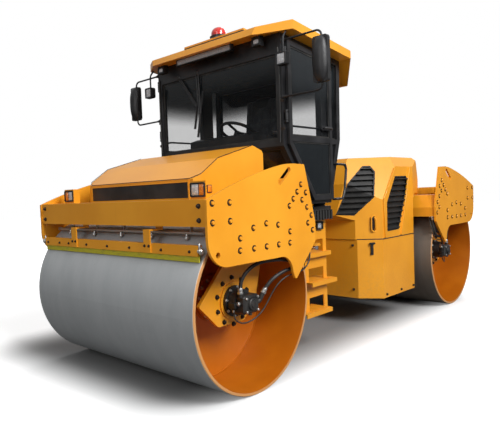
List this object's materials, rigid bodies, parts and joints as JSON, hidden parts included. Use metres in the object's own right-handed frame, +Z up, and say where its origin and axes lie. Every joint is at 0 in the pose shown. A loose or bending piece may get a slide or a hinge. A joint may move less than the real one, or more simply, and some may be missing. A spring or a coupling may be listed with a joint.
{
  "type": "articulated tandem road roller",
  "caption": "Articulated road roller with a smooth steel drum at each end, a glazed cab on the front frame and an engine body on the rear frame.",
  "frame": {"origin": "on the ground, half way between the two drums, under the steering pivot", "axes": "+X forward, +Y to the machine's left, +Z up"},
  "size_m": [5.506, 2.58, 3.2348],
  "materials": {
    "paint": "gloss",
    "drum_steel": "satin",
    "black_paint": "satin",
    "black_metal": "satin",
    "glass": "clear",
    "rubber": "matte",
    "hose": "matte",
    "chrome": "polished",
    "black_plastic": "matte",
    "red_lens": "gloss",
    "lamp": "gloss",
    "scraper": "gloss",
    "seat_fabric": "matte",
    "engine_metal": "matte",
    "hydraulic": "satin"
  },
  "bodies": {
    "front_drum": {"front_drum": "drum_steel"},
    "rear_drum": {"rear_drum": "drum_steel"},
    "left_door": {"left_door_frame": "black_metal", "left_door_glass": "glass"},
    "right_door": {"right_door_frame": "black_metal", "right_door_glass": "glass"},
    "engine_hood": {"engine_hood": "paint", "engine_grilles": "black_paint"},
    "link": {"articulation_link": "paint"},
    "steering_barrel": {"steering_barrel": "black_paint"},
    "steering_rod": {"steering_rod": "chrome"},
    "rear_frame": {"engine": "engine_metal", "rear_cross_member": "paint", "rear_crossbeam": "paint", "rear_left_drain_hose": "hose", "rear_left_pressure_hose": "hose", "rear_left_return_hose": "hose", "rear_legs": "paint", "rear_lower_body": "paint", "rear_motors": "hydraulic", "rear_right_pressure_hose": "hose", "rear_right_return_hose": "hose", "rear_scraper_bar": "paint", "rear_scraper_blade": "scraper", "rear_side_plates": "paint", "rear_water_tank": "paint"},
    "front_frame": {"beacon": "red_lens", "cab_floor": "black_metal", "cab_frame": "black_metal", "cab_platform": "black_paint", "cab_roof": "paint", "cab_windows": "glass", "dashboard": "black_plastic", "door_hinges": "black_metal", "entry_steps": "rubber", "front_chassis": "paint", "front_cross_member": "paint", "front_crossbeam": "paint", "front_headlights": "paint", "front_left_drain_hose": "hose", "front_left_pressure_hose": "hose", "front_left_return_hose": "hose", "front_legs": "paint", "front_motors": "hydraulic", "front_right_pressure_hose": "hose", "front_right_return_hose": "hose", "front_scraper_bar": "paint", "front_scraper_blade": "scraper", "front_side_plates": "paint", "front_water_tank": "paint", "ladders": "paint", "mirrors": "black_plastic", "roof_lights": "lamp", "seat_backrest": "seat_fabric", "seat_base": "black_plastic", "seat_cushion": "seat_fabric", "steering_wheel": "black_plastic", "windscreen": "glass"}
  },
  "joints": [
    {"name": "front_drum_spin", "type": "hinge", "parent": "front_frame", "child": "front_drum", "pos_m": [2.053, 0, 0.7], "axis": [0, 1, 0], "continuous": true},
    {"name": "rear_drum_spin", "type": "hinge", "parent": "rear_frame", "child": "rear_drum", "pos_m": [-2.053, 0, 0.7], "axis": [0, 1, 0], "continuous": true},
    {"name": "steering", "type": "hinge", "parent": "front_frame", "child": "link", "pos_m": [0, 0, 0.825], "axis": [0, 0, 1], "range_deg": [-35, 35]},
    {"name": "oscillation", "type": "hinge", "parent": "link", "child": "rear_frame", "pos_m": [-0.3, 0, 0.825], "axis": [1, 0, 0], "range_deg": [-6, 6]},
    {"name": "steering_barrel_pivot", "type": "hinge", "parent": "front_frame", "child": "steering_barrel", "pos_m": [0.8, 0.29, 0.9], "axis": [0, 0, 1], "range_deg": [-1.5, 1.5]},
    {"name": "steering_rod_slide", "type": "slide", "parent": "steering_barrel", "child": "steering_rod", "axis": [-0.9999, 0.0125, 0], "range_m": [-0.18, 0.18]},
    {"name": "left_door_hinge", "type": "hinge", "parent": "front_frame", "child": "left_door", "pos_m": [1.262, 0.842, 2.5], "axis": [0, 0, -1], "range_deg": [0, 70]},
    {"name": "right_door_hinge", "type": "hinge", "parent": "front_frame", "child": "right_door", "pos_m": [1.262, -0.842, 2.5], "axis": [0, 0, 1], "range_deg": [0, 70]},
    {"name": "hood_hinge", "type": "hinge", "parent": "rear_frame", "child": "engine_hood", "pos_m": [-1.59, 0, 1.5], "axis": [0, -1, 0], "range_deg": [0, 25]}
  ],
  "couplings": [
    {"joint": "steering_rod_slide", "follows": "steering", "m_per_rad": 0.28124},
    {"joint": "steering_barrel_pivot", "follows": "steering", "ratio": -0.02035}
  ]
}
